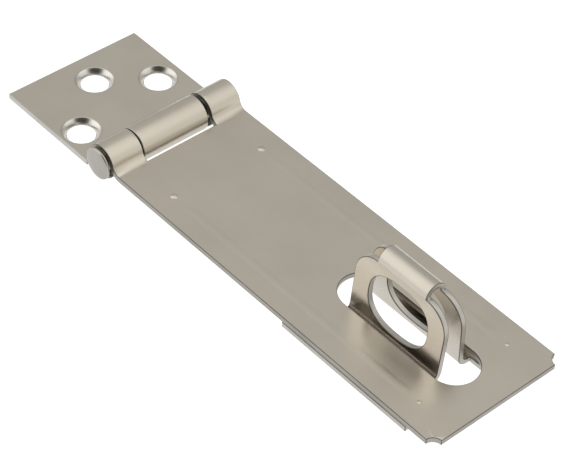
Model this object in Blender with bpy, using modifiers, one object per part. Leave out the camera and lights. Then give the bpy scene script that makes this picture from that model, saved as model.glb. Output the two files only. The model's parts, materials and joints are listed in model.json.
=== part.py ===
"""Hasp and staple: a hinged, slotted strap that closes over a folded staple.

Four pieces of pressed sheet and wire: the hinge leaf, the hasp strap, the
hinge pin and the staple. Units are metres and +Z points away from the door.
The origin lies on the hinge leaf's back face, +X points to the strap's free
end, and y = 0 is the centre plane of the strap and the staple.
"""
from math import atan, atan2, cos, pi, radians, sin, sqrt

import bmesh
import bpy
from mathutils import Vector

# Sheet and pin
SHEET = 0.0014
PIN_RADIUS = 0.0027
PIN_HEAD_RADIUS = 0.0044
PIN_HEAD_RIM = 0.0006
PIN_HEAD_DOME = 0.0010
PIN_END_CHAMFER = 0.0004
PIN_DOME_STEPS = 6
HEAD_GAP = 0.0007

# Hinge leaf, measured from the pin's axis
WIDTH = 0.0380
LEAF_LENGTH = 0.0352
LEAF_KNUCKLE_RADIUS = 0.0044
LEAF_KNUCKLE_WIDTH = 0.0190
LEAF_SIDE_PLAY = -0.00045          # the leaf's knuckle sits to one side of the strap's cut
LEAF_PLATE_END = -0.0050          # the plate beside its knuckle stops short of the pin
LEAF_ROLL_END = radians(212)
LEAF_HOLES = ((-0.0268, 0.0002), (-0.0180, 0.0126), (-0.0142, -0.0135))

# Countersunk screw holes, the same in the leaf and in the staple's flanges
HOLE_RADIUS = 0.00340
COUNTERSINK_RADIUS = 0.00470
COUNTERSINK_DEPTH = 0.00125

# Hasp strap, measured from the pin's axis
STRAP_LENGTH = 0.1088
STRAP_UNDERSIDE = 0.0024          # above the mounting plane
STRAP_KNUCKLE_RADIUS = 0.0043
STRAP_BEND_RADIUS = 0.0030        # of the sheet's middle, up to the knuckles
STRAP_ROLL_END = radians(322)
KNUCKLE_CUT_X = 0.0060
KNUCKLE_CUT_HALF_WIDTH = 0.01025
SLOT_START = 0.0618
SLOT_END = 0.1011
SLOT_HALF_WIDTH = 0.0059
CORNER_NOTCH_RADIUS = 0.0022
PIP_Y = 0.0130
PIPS = ((0.0188, 0.0009, 0.0003), (0.0983, 0.0005, 0.00015))  # X, radius and height

# Staple
STAPLE_X = 0.0809                 # its middle, from the pin's axis
FLANGE_LENGTH = 0.0384
FLANGE_HALF_WIDTH = 0.0184
FLANGE_INNER_EDGE = 0.0060        # beside the walls, from the centre plane
WALL_LENGTH = 0.0271
WALL_FOOT = 0.0041                # outer face at the mounting plane, from the centre plane
WALL_LEAN = 0.065                 # the walls come in by this much for each unit of height
WALL_BEND_RADIUS = 0.0022         # of the sheet's middle, between flange and wall
STAPLE_HEIGHT = 0.0216
SHOULDER_HEIGHT = 0.0189
RIDGE_ENDS = (-0.0077, 0.0069)    # from the middle of the walls
EYE_HEIGHT = 0.0101
EYE_HALF_LENGTH = 0.00885
EYE_HALF_HEIGHT = 0.0070
EYE_SQUARENESS = 2.5              # superellipse exponent, where 2 is an ellipse
STAPLE_HOLE_X = 0.0120            # from the staple's middle
STAPLE_HOLE_Y = 0.0120

# Facets, and how far a cutter runs past what it cuts
ARC_STEP = radians(9)
TURNED_STEPS = 40
EYE_STEPS = 48
PIP_STEPS = 12
MARGIN = 0.004

PIN_X = LEAF_LENGTH / 2
PIN_Z = LEAF_KNUCKLE_RADIUS
HINGE_AXIS = (PIN_X, 0, PIN_Z)


def clear_scene():
    for old in list(bpy.data.objects):
        bpy.data.objects.remove(old, do_unlink=True)


def new_collection(name):
    collection = bpy.data.collections.new(name)
    bpy.context.scene.collection.children.link(collection)
    return collection


def metal(name, colour, roughness):
    material = bpy.data.materials.new(name)
    material.use_nodes = True
    shader = material.node_tree.nodes["Principled BSDF"]
    shader.inputs["Base Color"].default_value = (*colour, 1)
    shader.inputs["Metallic"].default_value = 1
    shader.inputs["Roughness"].default_value = roughness
    return material


def add_piece(name, mesh, material, location):
    mesh.materials.append(material)
    mesh.shade_smooth()
    piece = bpy.data.objects.new(name, mesh)
    piece.location = location
    pieces.objects.link(piece)
    return piece


def combine(piece, mesh, location=(0, 0, 0), operation="DIFFERENCE", turned=False):
    """Cuts or joins a guide shape, which keeps its place relative to the piece."""
    guide = bpy.data.objects.new(mesh.name, mesh)
    guide.location = location
    guide.parent = piece
    guide.hide_render = True
    guide.display_type = "WIRE"
    cutters.objects.link(guide)
    if turned:
        turn(guide)
    modifier = piece.modifiers.new(mesh.name, "BOOLEAN")
    modifier.operation = operation
    modifier.solver = "EXACT"
    modifier.object = guide


def mesh_from(name, bm):
    mesh = bpy.data.meshes.new(name)
    bm.to_mesh(mesh)
    bm.free()
    return mesh


def arc(centre, radius, start, end):
    """Points on an arc, both ends included, at steps of about ARC_STEP."""
    steps = max(2, round(abs(end - start) / ARC_STEP))
    angles = [start + (end - start) * i / steps for i in range(steps + 1)]
    return [(centre[0] + radius * cos(a), centre[1] + radius * sin(a)) for a in angles]


def in_xz(point):
    return Vector((point[0], 0, point[1]))


def in_xy(point):
    return Vector((point[0], point[1], 0))


def in_yz(point):
    return Vector((0, point[0], point[1]))


def move_new_verts(bm, extruded, offset):
    verts = [item for item in extruded["geom"] if isinstance(item, bmesh.types.BMVert)]
    bmesh.ops.translate(bm, verts=verts, vec=offset)
    bmesh.ops.recalc_face_normals(bm, faces=bm.faces)


def strip(name, profile, plane, start, length):
    """An open surface: the profile, in its plane, swept straight over length."""
    bm = bmesh.new()
    verts = [bm.verts.new(plane(point) + start) for point in profile]
    edges = [bm.edges.new(pair) for pair in zip(verts, verts[1:])]
    move_new_verts(bm, bmesh.ops.extrude_edge_only(bm, edges=edges), length)
    return mesh_from(name, bm)


def prism(name, outline, plane, start, length):
    """A closed solid: the flat outline, in its plane, extruded over length."""
    bm = bmesh.new()
    face = bm.faces.new([bm.verts.new(plane(point) + start) for point in outline])
    move_new_verts(bm, bmesh.ops.extrude_face_region(bm, geom=[face]), length)
    return mesh_from(name, bm)


def box(name, low, high):
    low, high = Vector(low), Vector(high)
    bm = bmesh.new()
    bmesh.ops.create_cube(bm, size=1)
    bmesh.ops.scale(bm, verts=bm.verts, vec=high - low)
    bmesh.ops.translate(bm, verts=bm.verts, vec=(low + high) / 2)
    return mesh_from(name, bm)


def give_thickness(piece):
    modifier = piece.modifiers.new("sheet", "SOLIDIFY")
    modifier.thickness = SHEET
    modifier.offset = 0
    modifier.use_even_offset = True


def profile_mesh(name, profile):
    """Half of a turned shape's outline in the XZ plane, from its top down to its foot."""
    bm = bmesh.new()
    verts = [bm.verts.new(in_xz(point)) for point in profile]
    for pair in zip(verts, verts[1:]):
        bm.edges.new(pair)
    return mesh_from(name, bm)


def turn(item):
    modifier = item.modifiers.new("turned", "SCREW")
    modifier.steps = TURNED_STEPS
    modifier.render_steps = TURNED_STEPS
    modifier.use_merge_vertices = True
    modifier.merge_threshold = 0.00001


def countersink(piece, x, y, top):
    """Drills and countersinks one screw hole from the sheet's upper face."""
    slope = (COUNTERSINK_RADIUS - HOLE_RADIUS) / COUNTERSINK_DEPTH
    mouth = COUNTERSINK_RADIUS + slope * SHEET
    profile = [(0, SHEET), (mouth, SHEET), (HOLE_RADIUS, -COUNTERSINK_DEPTH),
               (HOLE_RADIUS, -MARGIN), (0, -MARGIN)]
    combine(piece, profile_mesh("countersink", profile), (x, y, top), turned=True)


def make_hinge_leaf():
    """A plate with three screw holes, rolled into one knuckle at its middle."""
    middle_z = SHEET / 2 - PIN_Z
    roll_radius = LEAF_KNUCKLE_RADIUS - SHEET / 2
    profile = [(-LEAF_LENGTH, middle_z)] + arc((0, 0), roll_radius, -pi / 2, LEAF_ROLL_END)
    mesh = strip("hinge_leaf", profile, in_xz, Vector((0, -WIDTH / 2, 0)), Vector((0, WIDTH, 0)))
    leaf = add_piece("hinge_leaf", mesh, steel, (PIN_X, LEAF_SIDE_PLAY, PIN_Z))
    give_thickness(leaf)
    knuckle_side = LEAF_KNUCKLE_WIDTH / 2
    reach = LEAF_KNUCKLE_RADIUS + MARGIN
    for side in (-1, 1):
        edges = sorted((side * knuckle_side, side * (WIDTH / 2 + MARGIN)))
        low = (LEAF_PLATE_END, edges[0], -reach)
        high = (reach, edges[1], reach)
        combine(leaf, box("knuckle_clearance", low, high))
    for x, y in LEAF_HOLES:
        countersink(leaf, x, y, SHEET - PIN_Z)


def strap_profile():
    """The strap's middle line in XZ: flat, then up and around the pin."""
    flat_z = STRAP_UNDERSIDE + SHEET / 2 - PIN_Z
    roll_radius = STRAP_KNUCKLE_RADIUS - SHEET / 2
    bend_z = flat_z + STRAP_BEND_RADIUS
    bend_x = sqrt((STRAP_BEND_RADIUS + roll_radius) ** 2 - bend_z ** 2)
    join = atan2(bend_z, bend_x)
    bend = arc((bend_x, bend_z), STRAP_BEND_RADIUS, 3 * pi / 2, pi + join)
    roll = arc((0, 0), roll_radius, join, STRAP_ROLL_END)
    return [(STRAP_LENGTH, flat_z)] + bend + roll[1:]


def slot_outline():
    near = arc((SLOT_START + SLOT_HALF_WIDTH, 0), SLOT_HALF_WIDTH, pi / 2, 3 * pi / 2)
    far = arc((SLOT_END - SLOT_HALF_WIDTH, 0), SLOT_HALF_WIDTH, -pi / 2, pi / 2)
    return near + far


def make_hasp_strap():
    """The slotted strap, rolled into two knuckles with the leaf's between them."""
    start = Vector((0, -WIDTH / 2, 0))
    mesh = strip("hasp_strap", strap_profile(), in_xz, start, Vector((0, WIDTH, 0)))
    strap = add_piece("hasp_strap", mesh, steel, HINGE_AXIS)
    give_thickness(strap)
    top = STRAP_UNDERSIDE + SHEET - PIN_Z
    reach = STRAP_KNUCKLE_RADIUS + MARGIN
    low = (-reach, -KNUCKLE_CUT_HALF_WIDTH, -reach)
    high = (KNUCKLE_CUT_X, KNUCKLE_CUT_HALF_WIDTH, reach)
    combine(strap, box("knuckle_cut", low, high))
    below = Vector((0, 0, top - SHEET - MARGIN))
    through = Vector((0, 0, SHEET + 2 * MARGIN))
    combine(strap, prism("staple_slot", slot_outline(), in_xy, below, through))
    for side in (-1, 1):
        corner = (STRAP_LENGTH, side * WIDTH / 2)
        outline = arc(corner, CORNER_NOTCH_RADIUS, 0, 2 * pi)[:-1]
        combine(strap, prism("corner_notch", outline, in_xy, below, through))
        for x, radius, height in PIPS:
            combine(strap, pip_mesh(radius, height), (x, side * PIP_Y, top), operation="UNION")


def pip_mesh(radius, height):
    """A small raised dome, the outside of a dimple punched from below."""
    bm = bmesh.new()
    bmesh.ops.create_uvsphere(bm, u_segments=PIP_STEPS, v_segments=PIP_STEPS // 2, radius=radius)
    bmesh.ops.scale(bm, verts=bm.verts, vec=(1, 1, height / radius))
    return mesh_from("pip", bm)


def make_hinge_pin():
    """A domed head on a plain shank, which the strap's two knuckles hold."""
    shank_end = WIDTH / 2
    head_face = WIDTH / 2 + HEAD_GAP
    rim_top = head_face + PIN_HEAD_RIM
    top = rim_top + PIN_HEAD_DOME
    sphere = (PIN_HEAD_RADIUS ** 2 + PIN_HEAD_DOME ** 2) / (2 * PIN_HEAD_DOME)
    edge = atan2(sphere - PIN_HEAD_DOME, PIN_HEAD_RADIUS)
    angles = [pi / 2 + (edge - pi / 2) * i / PIN_DOME_STEPS for i in range(PIN_DOME_STEPS + 1)]
    dome = [(sphere * cos(a), top - sphere + sphere * sin(a)) for a in angles]
    profile = [(0, top)] + dome[1:]
    profile += [(PIN_HEAD_RADIUS, head_face), (PIN_RADIUS, head_face)]
    profile += [(PIN_RADIUS, PIN_END_CHAMFER - shank_end), (PIN_RADIUS - PIN_END_CHAMFER, -shank_end)]
    profile += [(0, -shank_end)]
    pin = add_piece("hinge_pin", profile_mesh("hinge_pin", profile), pin_steel, HINGE_AXIS)
    pin.rotation_euler = (pi / 2, 0, 0)
    turn(pin)


def staple_profile():
    """The staple's middle line in YZ, from one flange's edge over to the other's."""
    lean = atan(WALL_LEAN)
    flat_z = SHEET / 2
    wall_y = WALL_FOOT - SHEET / 2 / cos(lean)
    bend_z = flat_z + WALL_BEND_RADIUS
    bend_end_z = bend_z - WALL_BEND_RADIUS * sin(lean)
    bend_y = wall_y - WALL_LEAN * bend_end_z + WALL_BEND_RADIUS * cos(lean)
    top = STAPLE_HEIGHT - SHEET / 2
    ridge_radius = cos(lean) * (wall_y - WALL_LEAN * top) / (1 - WALL_LEAN * cos(lean))
    flange = [(FLANGE_HALF_WIDTH, flat_z)]
    bend = arc((bend_y, bend_z), WALL_BEND_RADIUS, 3 * pi / 2, pi + lean)
    ridge = arc((0, top - ridge_radius), ridge_radius, lean, pi - lean)
    mirrored = [(-y, z) for y, z in reversed(flange + bend)]
    return flange + bend + ridge + mirrored


def shoulder_outline(ridge_end):
    """What is cut away beside one end of the walls, in XZ from the staple's middle."""
    wall = WALL_LENGTH / 2
    radius = wall - ridge_end
    shoulder = arc((wall - radius, SHOULDER_HEIGHT - radius), radius, 0, pi / 2)
    above = STAPLE_HEIGHT + MARGIN
    beyond = FLANGE_LENGTH / 2 + MARGIN
    return [(wall, -MARGIN)] + shoulder + [(ridge_end, above), (beyond, above), (beyond, -MARGIN)]


def eye_outline():
    """The shackle eye, a superellipse in XZ."""
    points = []
    for i in range(EYE_STEPS):
        angle = 2 * pi * i / EYE_STEPS
        across, up = cos(angle), sin(angle)
        x = EYE_HALF_LENGTH * abs(across) ** (2 / EYE_SQUARENESS)
        z = EYE_HALF_HEIGHT * abs(up) ** (2 / EYE_SQUARENESS)
        points.append((x if across > 0 else -x, EYE_HEIGHT + (z if up > 0 else -z)))
    return points


def make_staple():
    """One strip folded into two screw flanges, two walls and a round ridge."""
    start = Vector((-FLANGE_LENGTH / 2, 0, 0))
    mesh = strip("staple", staple_profile(), in_yz, start, Vector((FLANGE_LENGTH, 0, 0)))
    staple = add_piece("staple", mesh, steel, (PIN_X + STAPLE_X, 0, 0))
    give_thickness(staple)
    near = Vector((0, -FLANGE_INNER_EDGE, 0))
    across = Vector((0, 2 * FLANGE_INNER_EDGE, 0))
    for side, ridge_end in zip((-1, 1), RIDGE_ENDS):
        outline = [(side * x, z) for x, z in shoulder_outline(side * ridge_end)]
        combine(staple, prism("wall_end", outline, in_xz, near, across))
    combine(staple, prism("shackle_eye", eye_outline(), in_xz, near, across))
    for x in (-STAPLE_HOLE_X, STAPLE_HOLE_X):
        for y in (-STAPLE_HOLE_Y, STAPLE_HOLE_Y):
            countersink(staple, x, y, SHEET)


clear_scene()
pieces = new_collection("hasp_and_staple")
cutters = new_collection("cutters")
steel = metal("satin_steel", (0.44, 0.41, 0.36), 0.34)
pin_steel = metal("pin_steel", (0.46, 0.45, 0.42), 0.30)
make_hinge_leaf()
make_hasp_strap()
make_hinge_pin()
make_staple()
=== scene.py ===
"""Looks for the hasp and staple: each sheet-metal piece is rebuilt finely over its CAD node.

Metres throughout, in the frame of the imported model: +X along the strap, +Z away from the door.
"""
import json
from math import atan, atan2, cos, pi, radians, sin, sqrt

import bmesh
import bpy
from mathutils import Matrix, Vector


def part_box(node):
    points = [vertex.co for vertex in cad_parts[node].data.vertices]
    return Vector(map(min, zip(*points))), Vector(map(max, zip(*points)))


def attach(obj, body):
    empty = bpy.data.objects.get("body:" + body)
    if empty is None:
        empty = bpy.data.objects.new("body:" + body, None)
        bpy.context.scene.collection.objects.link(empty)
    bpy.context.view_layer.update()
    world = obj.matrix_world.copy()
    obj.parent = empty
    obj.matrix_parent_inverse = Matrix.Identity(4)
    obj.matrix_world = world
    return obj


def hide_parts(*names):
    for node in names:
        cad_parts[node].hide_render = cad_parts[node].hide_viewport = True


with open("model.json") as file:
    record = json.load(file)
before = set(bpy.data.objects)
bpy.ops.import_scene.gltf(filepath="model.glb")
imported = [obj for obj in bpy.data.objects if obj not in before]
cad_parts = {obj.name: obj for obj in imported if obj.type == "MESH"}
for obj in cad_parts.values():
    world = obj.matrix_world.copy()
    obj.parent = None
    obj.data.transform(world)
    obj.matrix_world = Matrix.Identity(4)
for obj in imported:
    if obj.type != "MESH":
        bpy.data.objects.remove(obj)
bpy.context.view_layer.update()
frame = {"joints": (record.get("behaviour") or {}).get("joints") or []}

# ---------------------------------------------------------------- places read from the frame
hinge = next(joint for joint in frame["joints"] if joint["name"] == "hasp_hinge")
PIN_X, _, PIN_Z = hinge["pos_m"]
leaf_low, leaf_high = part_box("hinge_leaf")
strap_low, strap_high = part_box("hasp_strap")
pin_low, pin_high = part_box("hinge_pin")
staple_low, staple_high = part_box("staple")
STAPLE_MIDDLE_X = (staple_low.x + staple_high.x) / 2
LEAF_MIDDLE_Y = (leaf_low.y + leaf_high.y) / 2
HALF_WIDTH = (strap_high.y - strap_low.y) / 2

# ---------------------------------------------------------------- sizes
SHEET = 0.0014
ARC_STEP = radians(3)
MARGIN = 0.004

LEAF_KNUCKLE_RADIUS = 0.0044
LEAF_KNUCKLE_HALF = 0.0095
LEAF_PLATE_END = -0.0050
LEAF_ROLL_END = radians(212)
LEAF_HOLES = ((-0.0268, 0.0002), (-0.0180, 0.0126), (-0.0142, -0.0135))

HOLE_RADIUS = 0.00340
COUNTERSINK_RADIUS = 0.00470
COUNTERSINK_DEPTH = 0.00125

STRAP_UNDERSIDE = 0.0024
STRAP_KNUCKLE_RADIUS = 0.0043
STRAP_BEND_RADIUS = 0.0030
STRAP_ROLL_END = radians(322)
KNUCKLE_CUT_X = 0.00594
KNUCKLE_CUT_HALF = 0.01025
SLOT_START = 0.0618
SLOT_END = 0.1011
SLOT_HALF_WIDTH = 0.0059
NOTCH_RADIUS = 0.0022
PIP_X = (0.0188, 0.0983)
PIP_Y = 0.0130
PIPS = ((PIP_X[0], 0.0009, 0.00026), (PIP_X[1], 0.0005, 0.00012))
BEAD_HALF_WIDTH = 0.0012
BEAD_HEIGHT = 0.00004
BEAD_GAP = 0.0024
BEAD_TAPER = 0.003
BEAD_SUNK = 0.000001
SUNK_SIZE = 0.9
DOME_STEPS = 8
DOME_SIDES = 32
CELL = 0.0018

FLANGE_INNER_EDGE = 0.0060
WALL_LENGTH = 0.0271
WALL_FOOT = 0.0041
WALL_LEAN = 0.065
WALL_BEND_RADIUS = 0.0022
SHOULDER_HEIGHT = 0.0189
RIDGE_ENDS = (-0.0077, 0.0069)
EYE_HEIGHT = 0.0101
EYE_HALF_LENGTH = 0.00885
EYE_HALF_HEIGHT = 0.0070
EYE_SQUARENESS = 2.5
STAPLE_HOLE = 0.0120

PIN_RADIUS = 0.0027
PIN_HEAD_RADIUS = 0.0040
PIN_HEAD_RIM = 0.0006
PIN_HEAD_DOME = 0.0010
PIN_HEAD_STEPS = 16
PIN_CHAMFER = 0.0004

LEAF_EDGE_ROUND = 0.00016
STRAP_EDGE_ROUND = 0.00012
PIN_EDGE_ROUND = 0.00018
STAPLE_EDGE_ROUND = 0.00018
BEVEL_SEGMENTS = 3
WELD = 0.000004
SHARP = radians(35)
CREASE = radians(15)
SMALL_FACE = 0.00006
MANY_CORNERS = 12
UPRIGHT = 0.1
LEANS_OUT = 0.05
EVEN_WEIGHT = 90
TURNED_STEPS = 96


# ---------------------------------------------------------------- materials
# A mix node's colour sockets, which share their names with its other kinds of socket.
MIX_A = 6
MIX_B = 7
MIX_RESULT = 2


class Nodes:
    """A short way to add and link shader nodes."""

    def __init__(self, name):
        self.material = bpy.data.materials.new(name)
        self.material.use_nodes = True
        self.tree = self.material.node_tree
        self.shader = self.tree.nodes["Principled BSDF"]

    def add(self, kind):
        return self.tree.nodes.new(kind)

    def link(self, source, target):
        self.tree.links.new(source, target)

    def math(self, operation, a, b=0.0):
        node = self.add("ShaderNodeMath")
        node.operation = operation
        for socket, value in zip(node.inputs, (a, b)):
            if isinstance(value, (int, float)):
                socket.default_value = value
            else:
                self.link(value, socket)
        return node.outputs[0]

    def noise(self, scale, detail, stretch=(1, 1, 1)):
        place = self.add("ShaderNodeTexCoord")
        mapping = self.add("ShaderNodeMapping")
        mapping.inputs["Scale"].default_value = stretch
        self.link(place.outputs["Object"], mapping.inputs["Vector"])
        noise = self.add("ShaderNodeTexNoise")
        noise.inputs["Scale"].default_value = scale
        noise.inputs["Detail"].default_value = detail
        self.link(mapping.outputs["Vector"], noise.inputs["Vector"])
        return noise.outputs["Fac"]

    def ramp(self, factor, stops):
        ramp = self.add("ShaderNodeValToRGB")
        elements = ramp.color_ramp.elements
        elements.remove(elements[1])
        elements[0].position = stops[0][0]
        added = [elements.new(position) for position, _ in stops[1:]]
        for element, (_, colour) in zip([elements[0], *added], stops):
            element.color = (*colour, 1)
        self.link(factor, ramp.inputs["Fac"])
        return ramp.outputs["Color"]

    def tint_by_height(self, colour, stops):
        """Multiplies a colour by a tint that goes by height, from stops of metres and tint."""
        place = self.add("ShaderNodeTexCoord")
        parts = self.add("ShaderNodeSeparateXYZ")
        self.link(place.outputs["Object"], parts.inputs[0])
        top = stops[-1][0]
        height = self.math("DIVIDE", parts.outputs["Z"], top)
        tint = self.ramp(height, [(z / top, tone) for z, tone in stops])
        mix = self.add("ShaderNodeMix")
        mix.data_type = "RGBA"
        mix.blend_type = "MULTIPLY"
        mix.inputs["Factor"].default_value = 1.0
        self.link(colour, mix.inputs[MIX_A])
        self.link(tint, mix.inputs[MIX_B])
        return mix.outputs[MIX_RESULT]

    def span(self, factor, low, high):
        node = self.add("ShaderNodeMapRange")
        node.inputs["To Min"].default_value = low
        node.inputs["To Max"].default_value = high
        self.link(factor, node.inputs["Value"])
        return node.outputs["Result"]


DRIFT_SCALE = 70
CLOUD_SCALE = 160
WAVE_SCALE = 45
WAVE_MICRONS = 12.0
MICRON = 0.000001
ROUGHNESS_SPREAD = 0.04


def metal(name, dark, light, roughness, grain_stretch, grain_microns, height_tint=()):
    """Satin metal: a drifting tint, a fine grain, a faint waviness and, with a height tint, painted light
    and shade by height.
    """
    nodes = Nodes(name)
    colour = nodes.ramp(nodes.noise(DRIFT_SCALE, 3), ((0.3, dark), (0.7, light)))
    # A height tint paints light and shade into the colour.
    if height_tint:
        colour = nodes.tint_by_height(colour, height_tint)
    nodes.link(colour, nodes.shader.inputs["Base Color"])
    nodes.shader.inputs["Metallic"].default_value = 1.0
    grain = nodes.noise(1.0, 1, grain_stretch)
    cloud = nodes.noise(CLOUD_SCALE, 4)
    mixed = nodes.math("ADD", nodes.math("MULTIPLY", grain, 0.5), nodes.math("MULTIPLY", cloud, 0.5))
    rough = nodes.span(mixed, roughness - ROUGHNESS_SPREAD, roughness + ROUGHNESS_SPREAD)
    nodes.link(rough, nodes.shader.inputs["Roughness"])
    wave = nodes.math("MULTIPLY", nodes.noise(WAVE_SCALE, 2), WAVE_MICRONS)
    height = nodes.math("ADD", wave, nodes.math("MULTIPLY", grain, grain_microns))
    bump = nodes.add("ShaderNodeBump")
    bump.inputs["Strength"].default_value = 1.0
    bump.inputs["Distance"].default_value = MICRON
    nodes.link(height, bump.inputs["Height"])
    nodes.link(bump.outputs["Normal"], nodes.shader.inputs["Normal"])
    return nodes.material


# Tints by height above the door: painted shade at the foot of the staple walls' outer faces, a painted
# highlight up them, and the ridge a little darker.
RIDGE_TINT = (0.87, 0.86, 0.84)
PAINTED_HIGHLIGHT_TINT = (1.14, 1.15, 1.20)
INNER_RIDGE_TINT = ((0.0, (1, 1, 1)), (0.0165, (1, 1, 1)), (0.0200, RIDGE_TINT), (0.0216, RIDGE_TINT))
OUTER_PAINTED_LIGHT = (
    (0.0, (0.78, 0.70, 0.66)),
    (0.0030, (0.85, 0.80, 0.78)),
    (0.0075, PAINTED_HIGHLIGHT_TINT),
    (0.0165, PAINTED_HIGHLIGHT_TINT),
    (0.0200, RIDGE_TINT),
    (0.0216, RIDGE_TINT),
)
STAPLE_TONES = ((0.63, 0.595, 0.53), (0.67, 0.635, 0.57))
steel = metal("satin_sheet", (0.575, 0.53, 0.455), (0.615, 0.57, 0.49), 0.30, (30, 1300, 30), 0.8)
staple_steel = metal("satin_staple", *STAPLE_TONES, 0.28, (900, 30, 30), 0.3, INNER_RIDGE_TINT)
# The walls' outer faces: painted shade at the fold and a painted highlight between fold and ridge.
staple_outer_painted_light = metal("satin_staple_painted_light", *STAPLE_TONES, 0.28, (900, 30, 30), 0.3, OUTER_PAINTED_LIGHT)
pin_steel = metal("satin_pin", (0.37, 0.35, 0.32), (0.45, 0.43, 0.395), 0.32, (900, 900, 900), 0.6)
strap_edge = metal("strap_edge", (0.34, 0.33, 0.30), (0.42, 0.41, 0.375), 0.42, (2000, 2000, 60), 1.0)
# Cut-edge steels for the leaf and staple: the cut steel's own tone, lightened as a painted reflection of the
# pale floor.
leaf_edge_with_painted_reflection = metal("leaf_edge_with_painted_reflection", (0.55, 0.54, 0.51), (0.63, 0.62, 0.59), 0.45, (2000, 2000, 60), 1.0)
staple_edge_with_painted_reflection = metal("staple_edge_with_painted_reflection", (0.50, 0.485, 0.45), (0.58, 0.565, 0.53), 0.40, (2000, 2000, 60), 1.0)
worn_edge = metal("worn_edge", (0.42, 0.405, 0.365), (0.50, 0.485, 0.445), 0.30, (600, 600, 600), 0.5)
# Near-black steels for the rounded edges of the strap and staple: painted shade that draws a dark outline
# along them.
painted_edge_shade = metal("painted_edge_shade", (0.07, 0.065, 0.055), (0.13, 0.12, 0.105), 0.40, (600, 600, 600), 0.5)
staple_painted_edge_shade = metal("staple_painted_edge_shade", (0.17, 0.15, 0.125), (0.24, 0.215, 0.18), 0.40, (600, 600, 600), 0.5)
drilled_steel = metal("drilled_steel", (0.64, 0.62, 0.58), (0.72, 0.70, 0.66), 0.26, (60, 60, 3000), 1.0)


# ---------------------------------------------------------------- mesh tools
def in_xz(point):
    return Vector((point[0], 0, point[1]))


def in_xy(point):
    return Vector((point[0], point[1], 0))


def in_yz(point):
    return Vector((0, point[0], point[1]))


def arc(centre, radius, start, end, step=ARC_STEP):
    steps = max(3, round(abs(end - start) / step))
    angles = [start + (end - start) * i / steps for i in range(steps + 1)]
    return [(centre[0] + radius * cos(a), centre[1] + radius * sin(a)) for a in angles]


def mesh_from(name, bm):
    mesh = bpy.data.meshes.new(name)
    bm.to_mesh(mesh)
    bm.free()
    return mesh


def swept(name, bm, extruded, offset):
    verts = [item for item in extruded["geom"] if isinstance(item, bmesh.types.BMVert)]
    bmesh.ops.translate(bm, verts=verts, vec=offset)
    bmesh.ops.recalc_face_normals(bm, faces=bm.faces)
    return mesh_from(name, bm)


def strip(name, profile, plane, stations, along):
    """An open sheet: one row of faces between each two stations along the sweep."""
    bm = bmesh.new()
    rows = [[bm.verts.new(plane(point) + along * station) for point in profile] for station in stations]
    for row, after in zip(rows, rows[1:]):
        for i in range(len(profile) - 1):
            bm.faces.new((row[i], row[i + 1], after[i + 1], after[i]))
    bmesh.ops.recalc_face_normals(bm, faces=bm.faces)
    return mesh_from(name, bm)


def prism(name, outline, plane, start, length):
    bm = bmesh.new()
    face = bm.faces.new([bm.verts.new(plane(point) + start) for point in outline])
    return swept(name, bm, bmesh.ops.extrude_face_region(bm, geom=[face]), length)


def box(name, low, high):
    low, high = Vector(low), Vector(high)
    bm = bmesh.new()
    bmesh.ops.create_cube(bm, size=1)
    bmesh.ops.scale(bm, verts=bm.verts, vec=high - low)
    bmesh.ops.translate(bm, verts=bm.verts, vec=(low + high) / 2)
    return mesh_from(name, bm)


def turned(name, profile, steps=TURNED_STEPS):
    """A closed solid turned about Z from a profile that starts and ends on the axis."""
    bm = bmesh.new()
    top, foot = bm.verts.new((0, 0, profile[0][1])), bm.verts.new((0, 0, profile[-1][1]))
    rings = []
    for radius, height in profile[1:-1]:
        angles = [2 * pi * i / steps for i in range(steps)]
        rings.append([bm.verts.new((radius * cos(a), radius * sin(a), height)) for a in angles])
    for i in range(steps):
        j = (i + 1) % steps
        bm.faces.new((top, rings[0][i], rings[0][j]))
        bm.faces.new((foot, rings[-1][j], rings[-1][i]))
        for upper, lower in zip(rings, rings[1:]):
            bm.faces.new((upper[i], lower[i], lower[j], upper[j]))
    bmesh.ops.recalc_face_normals(bm, faces=bm.faces)
    return mesh_from(name, bm)


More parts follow.
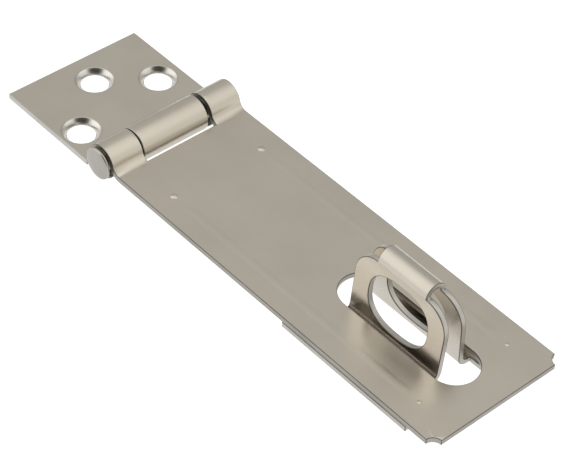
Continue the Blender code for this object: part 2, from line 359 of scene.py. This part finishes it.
class Piece:
    """A piece in the making: a base mesh, what is cut from it, and its finish."""

    def __init__(self, name, mesh, materials, location=(0, 0, 0)):
        self.item = bpy.data.objects.new(name, mesh)
        self.item.location = location
        bpy.context.scene.collection.objects.link(self.item)
        for material in materials:
            mesh.materials.append(material)
        self.tools = []

    def thicken(self):
        sheet = self.item.modifiers.new("sheet", "SOLIDIFY")
        sheet.thickness = SHEET
        sheet.offset = 0
        sheet.use_even_offset = True
        sheet.material_offset_rim = 1

    def combine(self, mesh, location=(0, 0, 0), operation="DIFFERENCE", material=None):
        tool = bpy.data.objects.new(mesh.name, mesh)
        tool.location = self.item.location + Vector(location)
        if material:
            mesh.materials.append(material)
        bpy.context.scene.collection.objects.link(tool)
        self.tools.append(tool)
        modifier = self.item.modifiers.new(mesh.name, "BOOLEAN")
        modifier.operation = operation
        modifier.solver = "EXACT"
        modifier.material_mode = "TRANSFER"
        modifier.object = tool

    def countersink(self, x, y, top):
        slope = (COUNTERSINK_RADIUS - HOLE_RADIUS) / COUNTERSINK_DEPTH
        mouth = COUNTERSINK_RADIUS + slope * SHEET
        profile = [(0, SHEET), (mouth, SHEET), (HOLE_RADIUS, -COUNTERSINK_DEPTH),
                   (HOLE_RADIUS, -MARGIN), (0, -MARGIN)]
        self.combine(turned("countersink", profile), (x, y, top), material=drilled_steel)

    def finish(self, body, node, edge, edge_round):
        """Applies the cuts, then rounds the edges and gives the piece its place in the frame."""
        bpy.context.view_layer.update()
        graph = bpy.context.evaluated_depsgraph_get()
        mesh = bpy.data.meshes.new_from_object(self.item.evaluated_get(graph), depsgraph=graph)
        mesh.transform(Matrix.Translation(self.item.location))
        mark_edges(mesh)
        name = self.item.name
        for used in [self.item, *self.tools]:
            bpy.data.objects.remove(used, do_unlink=True)
        mesh.shade_smooth()
        made = bpy.data.objects.new(name, mesh)
        bpy.context.scene.collection.objects.link(made)
        mesh.materials.append(edge)
        bevel = made.modifiers.new("rounded_edges", "BEVEL")
        bevel.width = edge_round
        bevel.segments = BEVEL_SEGMENTS
        bevel.use_clamp_overlap = False
        bevel.limit_method = "WEIGHT"
        bevel.material = mesh.materials.find(edge.name)
        normals = made.modifiers.new("even_shading", "WEIGHTED_NORMAL")
        normals.keep_sharp = True
        normals.weight = EVEN_WEIGHT
        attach(made, body)
        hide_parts(node)
        return made


def mark_edges(mesh):
    """Tidies a cut mesh and marks the outer edges that are to be rounded."""
    drilled = mesh.materials.find(drilled_steel.name)
    bm = bmesh.new()
    bm.from_mesh(mesh)
    bmesh.ops.remove_doubles(bm, verts=bm.verts, dist=WELD)
    bmesh.ops.dissolve_degenerate(bm, edges=bm.edges, dist=WELD)
    rings = [face for face in bm.faces if len(face.verts) > MANY_CORNERS and face.calc_area() < SMALL_FACE]
    bmesh.ops.triangulate(bm, faces=rings)
    weight = bm.edges.layers.float.new("bevel_weight_edge")
    for edge in bm.edges:
        drilled_faces = [face for face in edge.link_faces if face.material_index == drilled]
        bores = [face for face in drilled_faces if abs(face.normal.z) < UPRIGHT]
        turn = edge.calc_face_angle_signed() if len(edge.link_faces) == 2 else 0.0
        edge[weight] = 1.0 if turn > SHARP and not bores else 0.0
        edge.smooth = turn > -CREASE
    bm.to_mesh(mesh)
    bm.free()


# ---------------------------------------------------------------- the pieces
def make_leaf():
    middle_z = SHEET / 2 - PIN_Z
    roll_radius = LEAF_KNUCKLE_RADIUS - SHEET / 2
    start_x = leaf_low.x - PIN_X
    profile = [(start_x, middle_z)] + arc((0, 0), roll_radius, -pi / 2, LEAF_ROLL_END)
    mesh = strip("leaf", profile, in_xz, (-HALF_WIDTH, HALF_WIDTH), Vector((0, 1, 0)))
    leaf = Piece("leaf_plate", mesh, (steel, leaf_edge_with_painted_reflection), (PIN_X, LEAF_MIDDLE_Y, PIN_Z))
    leaf.thicken()
    reach = LEAF_KNUCKLE_RADIUS + MARGIN
    for side in (-1, 1):
        edges = sorted((side * LEAF_KNUCKLE_HALF, side * (HALF_WIDTH + MARGIN)))
        cut = box("knuckle_clearance", (LEAF_PLATE_END, edges[0], -reach), (reach, edges[1], reach))
        leaf.combine(cut, material=strap_edge)
    for x, y in LEAF_HOLES:
        leaf.countersink(x, y, SHEET - PIN_Z)
    return leaf.finish("leaf", "hinge_leaf", worn_edge, LEAF_EDGE_ROUND)


def strap_profile(flat):
    """The strap's middle line, from the stations on its flat to the end of its roll."""
    flat_z = STRAP_UNDERSIDE + SHEET / 2 - PIN_Z
    roll_radius = STRAP_KNUCKLE_RADIUS - SHEET / 2
    bend_z = flat_z + STRAP_BEND_RADIUS
    bend_x = sqrt((STRAP_BEND_RADIUS + roll_radius) ** 2 - bend_z ** 2)
    join = atan2(bend_z, bend_x)
    bend = arc((bend_x, bend_z), STRAP_BEND_RADIUS, 3 * pi / 2, pi + join)
    roll = arc((0, 0), roll_radius, join, STRAP_ROLL_END)
    return [(x, flat_z) for x in flat] + bend + roll[1:]


def cap_profile(radius, height, top, steps):
    """A cap of a sphere, as points of radius and height from its top to its rim."""
    ball = (radius ** 2 + height ** 2) / (2 * height)
    rim = atan2(radius, ball - height)
    angles = [rim * i / steps for i in range(steps + 1)]
    return [(ball * sin(a), top - ball + ball * cos(a)) for a in angles]


def dome(name, radius, height):
    """A shallow cap, sunk a little so that it joins what is under it."""
    foot = [(radius * SUNK_SIZE, -height), (0, -height)]
    return turned(name, cap_profile(radius, height, height, DOME_STEPS) + foot, DOME_SIDES)


def bead(length):
    """A low rounded rib along X, tapered to nothing at both ends."""
    across, along = 8, 40
    bm = bmesh.new()
    rows = []
    for i in range(along + 1):
        x = length * i / along
        taper = min(1, x / BEAD_TAPER, (length - x) / BEAD_TAPER)
        row = []
        for j in range(across + 1):
            s = 2 * j / across - 1
            row.append(bm.verts.new((x, s * BEAD_HALF_WIDTH, BEAD_HEIGHT * taper * (1 - s * s) - BEAD_SUNK)))
        row.append(bm.verts.new((x, BEAD_HALF_WIDTH * SUNK_SIZE, -SHEET / 4)))
        row.append(bm.verts.new((x, -BEAD_HALF_WIDTH * SUNK_SIZE, -SHEET / 4)))
        rows.append(row)
    count = len(rows[0])
    for near, far in zip(rows, rows[1:]):
        for j in range(count):
            k = (j + 1) % count
            bm.faces.new((near[j], near[k], far[k], far[j]))
    bm.faces.new(rows[0])
    bm.faces.new(rows[-1])
    bmesh.ops.recalc_face_normals(bm, faces=bm.faces)
    return mesh_from("bead", bm)


def make_strap():
    length = strap_high.x - PIN_X
    flat = [length, PIP_X[1] + CELL, PIP_X[1] - CELL]
    spans = 6
    flat += [PIP_X[1] - i * (PIP_X[1] - PIP_X[0]) / spans for i in range(1, spans)]
    flat += [PIP_X[0] + CELL, PIP_X[0] - CELL]
    sides = (-HALF_WIDTH, -PIP_Y - CELL, -PIP_Y + CELL)
    stations = sides + tuple(-y for y in reversed(sides))
    mesh = strip("strap", strap_profile(flat), in_xz, stations, Vector((0, 1, 0)))
    strap = Piece("strap_plate", mesh, (steel, strap_edge), (PIN_X, 0, PIN_Z))
    strap.thicken()
    top = STRAP_UNDERSIDE + SHEET - PIN_Z
    reach = STRAP_KNUCKLE_RADIUS + MARGIN
    cut = box("knuckle_cut", (-reach, -KNUCKLE_CUT_HALF, -reach), (KNUCKLE_CUT_X, KNUCKLE_CUT_HALF, reach))
    strap.combine(cut, material=strap_edge)
    below = Vector((0, 0, top - SHEET - MARGIN))
    through = Vector((0, 0, SHEET + 2 * MARGIN))
    near = arc((SLOT_START + SLOT_HALF_WIDTH, 0), SLOT_HALF_WIDTH, pi / 2, 3 * pi / 2)
    far = arc((SLOT_END - SLOT_HALF_WIDTH, 0), SLOT_HALF_WIDTH, -pi / 2, pi / 2)
    strap.combine(prism("slot", near + far, in_xy, below, through), material=strap_edge)
    for side in (-1, 1):
        outline = arc((length, side * HALF_WIDTH), NOTCH_RADIUS, 0, 2 * pi, radians(6))[:-1]
        strap.combine(prism("notch", outline, in_xy, below, through), material=strap_edge)
        rib = bead(PIP_X[1] - PIP_X[0] - 2 * BEAD_GAP)
        strap.combine(rib, (PIP_X[0] + BEAD_GAP, side * PIP_Y, top), "UNION")
        for x, radius, height in PIPS:
            strap.combine(dome("pip", radius, height), (x, side * PIP_Y, top), "UNION")
            strap.combine(dome("dimple", radius, height), (x, side * PIP_Y, top - SHEET))
    return strap.finish("hasp", "hasp_strap", painted_edge_shade, STRAP_EDGE_ROUND)


def make_pin():
    shank_end = HALF_WIDTH
    head_face = -pin_low.y - PIN_HEAD_RIM - PIN_HEAD_DOME
    rim_top = head_face + PIN_HEAD_RIM
    profile = cap_profile(PIN_HEAD_RADIUS, PIN_HEAD_DOME, rim_top + PIN_HEAD_DOME, PIN_HEAD_STEPS)
    profile += [(PIN_HEAD_RADIUS, head_face), (PIN_RADIUS, head_face)]
    profile += [(PIN_RADIUS, PIN_CHAMFER - shank_end), (PIN_RADIUS - PIN_CHAMFER, -shank_end)]
    profile.append((0, -shank_end))
    mesh = turned("pin", profile)
    mesh.transform(Matrix.Rotation(pi / 2, 4, "X"))
    pin = Piece("pin_body", mesh, (pin_steel,), (PIN_X, 0, PIN_Z))
    return pin.finish("hasp", "hinge_pin", worn_edge, PIN_EDGE_ROUND)


def staple_profile():
    lean = atan(WALL_LEAN)
    flat_z = SHEET / 2
    wall_y = WALL_FOOT - SHEET / 2 / cos(lean)
    bend_z = flat_z + WALL_BEND_RADIUS
    bend_end_z = bend_z - WALL_BEND_RADIUS * sin(lean)
    bend_y = wall_y - WALL_LEAN * bend_end_z + WALL_BEND_RADIUS * cos(lean)
    top = staple_high.z - SHEET / 2
    ridge_radius = cos(lean) * (wall_y - WALL_LEAN * top) / (1 - WALL_LEAN * cos(lean))
    flange = [(staple_high.y, flat_z)]
    bend = arc((bend_y, bend_z), WALL_BEND_RADIUS, 3 * pi / 2, pi + lean)
    ridge = arc((0, top - ridge_radius), ridge_radius, lean, pi - lean)
    mirrored = [(-y, z) for y, z in reversed(flange + bend)]
    return flange + bend + ridge + mirrored


def shoulder_outline(ridge_end):
    wall = WALL_LENGTH / 2
    radius = wall - ridge_end
    shoulder = arc((wall - radius, SHOULDER_HEIGHT - radius), radius, 0, pi / 2)
    above = staple_high.z + MARGIN
    beyond = (staple_high.x - staple_low.x) / 2 + MARGIN
    return [(wall, -MARGIN)] + shoulder + [(ridge_end, above), (beyond, above), (beyond, -MARGIN)]


def eye_outline():
    points = []
    steps = 96
    for i in range(steps):
        angle = 2 * pi * i / steps
        across, up = cos(angle), sin(angle)
        x = EYE_HALF_LENGTH * abs(across) ** (2 / EYE_SQUARENESS)
        z = EYE_HALF_HEIGHT * abs(up) ** (2 / EYE_SQUARENESS)
        points.append((x if across > 0 else -x, EYE_HEIGHT + (z if up > 0 else -z)))
    return points


def make_staple():
    half_length = (staple_high.x - staple_low.x) / 2
    mesh = strip("staple_sheet", staple_profile(), in_yz, (-half_length, half_length), Vector((1, 0, 0)))
    staple = Piece("staple_body", mesh, (staple_steel, staple_edge_with_painted_reflection), (STAPLE_MIDDLE_X, 0, 0))
    staple.thicken()
    near = Vector((0, -FLANGE_INNER_EDGE, 0))
    across = Vector((0, 2 * FLANGE_INNER_EDGE, 0))
    for side, ridge_end in zip((-1, 1), RIDGE_ENDS):
        outline = [(side * x, z) for x, z in shoulder_outline(side * ridge_end)]
        staple.combine(prism("wall_end", outline, in_xz, near, across), material=staple_edge_with_painted_reflection)
    staple.combine(prism("eye", eye_outline(), in_xz, near, across), material=staple_edge_with_painted_reflection)
    for x in (-STAPLE_HOLE, STAPLE_HOLE):
        for y in (-STAPLE_HOLE, STAPLE_HOLE):
            staple.countersink(x, y, SHEET)
    made = staple.finish("staple_base", "staple", staple_painted_edge_shade, STAPLE_EDGE_ROUND)
    paint_outer_light(made.data)
    return made


def paint_outer_light(mesh):
    """Gives the walls' outer faces the material with painted shade at the fold and a painted highlight up
    the wall.
    """
    mesh.materials.append(staple_outer_painted_light)
    for face in mesh.polygons:
        outward = face.normal.y if face.center.y > 0 else -face.normal.y
        if face.material_index == 0 and outward > LEANS_OUT:
            face.material_index = len(mesh.materials) - 1


make_leaf()
make_strap()
make_pin()
make_staple()

# ---------------------------------------------------------------- floor, light and camera
FLOOR_Z = -0.0004
FLOOR_HALF = 3.0
FLOOR_GREY = 0.30
FLOOR_GLOW = 1.0  # seen by the camera
FLOOR_FILL = 0.78  # seen by the object


def make_floor():
    bm = bmesh.new()
    corners = ((-1, -1), (1, -1), (1, 1), (-1, 1))
    bm.faces.new([bm.verts.new((x * FLOOR_HALF, y * FLOOR_HALF, FLOOR_Z)) for x, y in corners])
    floor = bpy.data.objects.new("floor", mesh_from("floor", bm))
    bpy.context.scene.collection.objects.link(floor)
    nodes = Nodes("pale_floor")
    nodes.shader.inputs["Base Color"].default_value = (FLOOR_GREY, FLOOR_GREY, FLOOR_GREY, 1)
    nodes.shader.inputs["Roughness"].default_value = 0.9
    nodes.shader.inputs["Specular IOR Level"].default_value = 0.0
    nodes.shader.inputs["Emission Color"].default_value = (1, 1, 1, 1)
    seen = nodes.add("ShaderNodeLightPath").outputs["Is Camera Ray"]
    glow = nodes.math("ADD", nodes.math("MULTIPLY", seen, FLOOR_GLOW - FLOOR_FILL), FLOOR_FILL)
    nodes.link(glow, nodes.shader.inputs["Emission Strength"])
    floor.data.materials.append(nodes.material)


def unit(azimuth, elevation):
    """Direction from the object: azimuth 0 is towards -Y and 90 towards +X."""
    a, e = radians(azimuth), radians(elevation)
    return Vector((sin(a) * cos(e), -cos(a) * cos(e), sin(e)))


# The studio: cones as azimuth, elevation and the angles within which they are full and beyond which gone.
ROOM = (0.60, 0.60, 0.59)
CEILING = ((1.36, 1.34, 1.30), (20, 90, 6, 42))
LEFT_SOFTBOX = ((1.34, 1.33, 1.29), (-45, 33, 18, 50))
RIGHT_SOFTBOX = ((1.15, 1.14, 1.10), (135, 42, 10, 38))
LOW_CARD = ((0.95, 0.93, 0.88), (118, 10, 8, 34))
DARK_FRONT = ((0.05, 0.045, 0.04), (45.8, 43.6, 24, 46))
LIGHTS = (CEILING, LEFT_SOFTBOX, RIGHT_SOFTBOX, LOW_CARD, DARK_FRONT)
DUSK = (0.20, 0.19, 0.17)
DUSK_CONE = (215, 0, 25, 75)
DUSK_ELEVATION = 16


def make_world():
    """A grey studio: a bright ceiling, two softboxes, a dark camera side and a dim far horizon."""
    world = bpy.data.worlds.new("studio")
    world.use_nodes = True
    bpy.context.scene.world = world
    tree = world.node_tree
    background = tree.nodes["Background"]
    place = tree.nodes.new("ShaderNodeTexCoord")
    direction = place.outputs["Generated"]

    def link(source, target):
        tree.links.new(source, target)

    def lobe(azimuth, elevation, inner, outer):
        """One in a cone about a direction, falling smoothly to nothing at its outer angle."""
        dot = tree.nodes.new("ShaderNodeVectorMath")
        dot.operation = "DOT_PRODUCT"
        link(direction, dot.inputs[0])
        dot.inputs[1].default_value = unit(azimuth, elevation)
        fall = tree.nodes.new("ShaderNodeMapRange")
        fall.interpolation_type = "SMOOTHSTEP"
        fall.inputs["From Min"].default_value = cos(radians(outer))
        fall.inputs["From Max"].default_value = cos(radians(inner))
        link(dot.outputs["Value"], fall.inputs["Value"])
        return fall.outputs["Result"]

    def blend(below, colour, factor):
        mix = tree.nodes.new("ShaderNodeMix")
        mix.data_type = "RGBA"
        link(factor, mix.inputs["Factor"])
        if isinstance(below, tuple):
            mix.inputs[MIX_A].default_value = (*below, 1)
        else:
            link(below, mix.inputs[MIX_A])
        mix.inputs[MIX_B].default_value = (*colour, 1)
        return mix.outputs[MIX_RESULT]

    def low(below_elevation):
        """One at the horizon, falling smoothly to nothing at an elevation."""
        parts = tree.nodes.new("ShaderNodeSeparateXYZ")
        link(direction, parts.inputs["Vector"])
        fall = tree.nodes.new("ShaderNodeMapRange")
        fall.interpolation_type = "SMOOTHSTEP"
        fall.inputs["From Min"].default_value = sin(radians(below_elevation))
        fall.inputs["From Max"].default_value = 0.0
        link(parts.outputs["Z"], fall.inputs["Value"])
        return fall.outputs["Result"]

    light = ROOM
    for colour, cone in LIGHTS:
        light = blend(light, colour, lobe(*cone))
    dusk = tree.nodes.new("ShaderNodeMath")
    dusk.operation = "MULTIPLY"
    link(low(DUSK_ELEVATION), dusk.inputs[0])
    link(lobe(*DUSK_CONE), dusk.inputs[1])
    light = blend(light, DUSK, dusk.outputs[0])
    link(light, background.inputs["Color"])
    background.inputs["Strength"].default_value = 1.0


CAMERA_TARGET = Vector((0.061923, -0.001875, 0.0044))
CAMERA_AZIMUTH = 45.77
CAMERA_ELEVATION = 43.64
CAMERA_ROLL = radians(4.0)
CAMERA_DISTANCE = 0.477977
CAMERA_LENS = 135.7


def make_camera():
    data = bpy.data.cameras.new("camera")
    data.lens = CAMERA_LENS
    data.sensor_width = 36
    data.clip_start = 0.01
    camera = bpy.data.objects.new("camera", data)
    back = unit(CAMERA_AZIMUTH, CAMERA_ELEVATION)
    right = (-back).cross(Vector((0, 0, 1))).normalized()
    up = right.cross(-back)
    across = cos(CAMERA_ROLL) * right + sin(CAMERA_ROLL) * up
    upright = cos(CAMERA_ROLL) * up - sin(CAMERA_ROLL) * right
    turn = Matrix((across, upright, back)).transposed().to_4x4()
    camera.matrix_world = Matrix.Translation(CAMERA_TARGET + CAMERA_DISTANCE * back) @ turn
    bpy.context.scene.collection.objects.link(camera)
    bpy.context.scene.camera = camera


make_floor()
make_world()
make_camera()
bpy.context.scene.view_settings.view_transform = "Standard"
